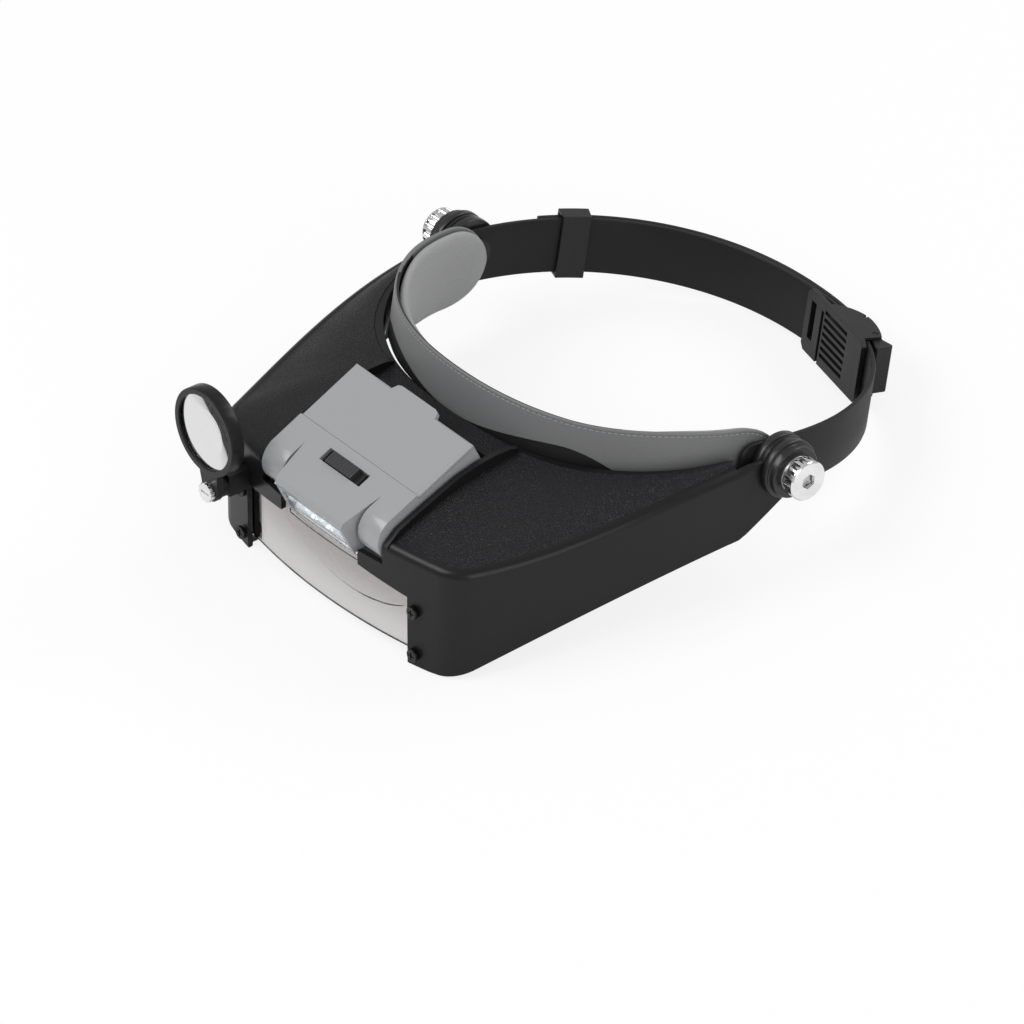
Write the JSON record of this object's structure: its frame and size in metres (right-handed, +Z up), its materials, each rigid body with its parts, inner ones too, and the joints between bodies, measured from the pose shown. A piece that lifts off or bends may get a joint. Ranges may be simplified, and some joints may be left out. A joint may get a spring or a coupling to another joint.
{
  "type": "lighted headband magnifier",
  "caption": "Padded headband with a tilting visor that carries a front lens, a flip-down lens, a swinging loupe and a tilting battery lamp.",
  "frame": {"origin": "centre of the bounding box's bottom face, on the surface the magnifier rests on", "axes": "+Z up, -Y towards the lens front (the way the wearer looks), +X to the wearer's left"},
  "size_m": [0.1966, 0.223, 0.0672],
  "materials": {
    "band_grey": "grey leatherette, fine grain",
    "pad_grey": "soft grey leatherette over foam",
    "strap_black": "flexible black strap, satin",
    "fitting_black": "black moulded plastic, fine grain",
    "disc_black": "black moulded plastic, smooth",
    "visor_black": "black moulded plastic, leather-like grain on the roof",
    "screw_black": "blackened steel",
    "lens_clear": "clear acrylic",
    "loupe_black": "black moulded plastic, satin gloss",
    "knob_chrome": "bright plated, knurled",
    "steel": "plain steel",
    "lamp_grey": "grey moulded plastic, smooth satin",
    "switch_black": "dark grey moulded plastic, ribbed",
    "switch_metal": "tinned steel can",
    "board_green": "green circuit board",
    "led_white": "water-clear LED",
    "reflector_silver": "metallised plastic",
    "window_clear": "clear acrylic",
    "cell_wrap": "plain printed sleeve",
    "spring_steel": "nickel-plated spring steel"
  },
  "bodies": {
    "headband": {"brow_band": "band_grey", "forehead_pad": "pad_grey", "strap_left": "strap_black", "strap_right": "strap_black", "buckle_plate": "fitting_black", "buckle_housing": "fitting_black", "lever_pin": "steel", "pivot_bolts": "steel", "friction_discs": "disc_black"},
    "keeper": {"strap_keeper": "fitting_black"},
    "lever": {"release_lever": "fitting_black"},
    "left_knob": {"knob_left": "knob_chrome"},
    "right_knob": {"knob_right": "knob_chrome"},
    "visor": {"visor_hood": "visor_black", "front_lens": "lens_clear", "lens_screws": "screw_black", "lens_clamps": "visor_black", "pivot_collars": "disc_black", "knob_washers": "steel", "loupe_bracket": "visor_black", "lamp_hinge_pins": "steel"},
    "flip": {"flip_lens": "lens_clear", "flip_hinge_bar": "visor_black"},
    "loupe": {"loupe_frame": "loupe_black", "loupe_lens": "lens_clear", "loupe_snap_ring": "loupe_black"},
    "loupe_lock": {"loupe_screw": "knob_chrome"},
    "lamp": {"lamp_case": "lamp_grey", "lamp_base": "lamp_grey", "switch_body": "switch_metal", "led_board": "board_green", "leds": "led_white", "reflector": "reflector_silver", "lamp_window": "window_clear", "battery_cells": "cell_wrap", "contact_springs": "spring_steel", "contact_plates": "spring_steel", "case_screws": "steel"},
    "cover": {"battery_cover": "lamp_grey"},
    "switch": {"switch_button": "switch_black"}
  },
  "joints": [
    {"name": "visor_tilt", "type": "hinge", "parent": "headband", "child": "visor", "pos_m": [0, 0.02913, 0.03605], "axis": [-1, 0, 0], "range_deg": [-10, 75]},
    {"name": "lamp_tilt", "type": "hinge", "parent": "visor", "child": "lamp", "pos_m": [0, -0.08763, 0.03996], "axis": [1, 0, 0], "range_deg": [0, 45]},
    {"name": "switch_slide", "type": "slide", "parent": "lamp", "child": "switch", "axis": [1, 0, 0], "range_m": [-0.0025, 0.0043]},
    {"name": "battery_cover_slide", "type": "slide", "parent": "lamp", "child": "cover", "axis": [0, 0.9443, 0.3291], "range_m": [0, 0.012]},
    {"name": "flip_lens_fold", "type": "hinge", "parent": "visor", "child": "flip", "pos_m": [0, -0.08374, 0.02485], "axis": [1, 0, 0], "range_deg": [0, 85]},
    {"name": "loupe_swing", "type": "hinge", "parent": "visor", "child": "loupe", "pos_m": [-0.0444, -0.10744, 0.02893], "axis": [0, 0.9942, -0.1078], "range_deg": [-45, 95]},
    {"name": "loupe_screw_turn", "type": "hinge", "parent": "visor", "child": "loupe_lock", "pos_m": [-0.0444, -0.10942, 0.02914], "axis": [0, 0.9942, -0.1078], "continuous": true},
    {"name": "knob_left_turn", "type": "hinge", "parent": "headband", "child": "left_knob", "pos_m": [0.095, 0.02913, 0.03605], "axis": [1, 0, 0], "continuous": true},
    {"name": "knob_right_turn", "type": "hinge", "parent": "headband", "child": "right_knob", "pos_m": [-0.095, 0.02913, 0.03605], "axis": [-1, 0, 0], "continuous": true},
    {"name": "keeper_slide", "type": "hinge", "parent": "headband", "child": "keeper", "pos_m": [-0.00267, 0.03433, 0.03195], "axis": [0, 0.2771, 0.9608], "range_deg": [-2, 5]},
    {"name": "release_lever_press", "type": "hinge", "parent": "headband", "child": "lever", "pos_m": [0.03735, 0.10261, 0.01225], "axis": [0, -0.2771, -0.9608], "range_deg": [0, 6], "stiffness_Nm_per_rad": 0.3, "springref_deg": -1.15}
  ]
}
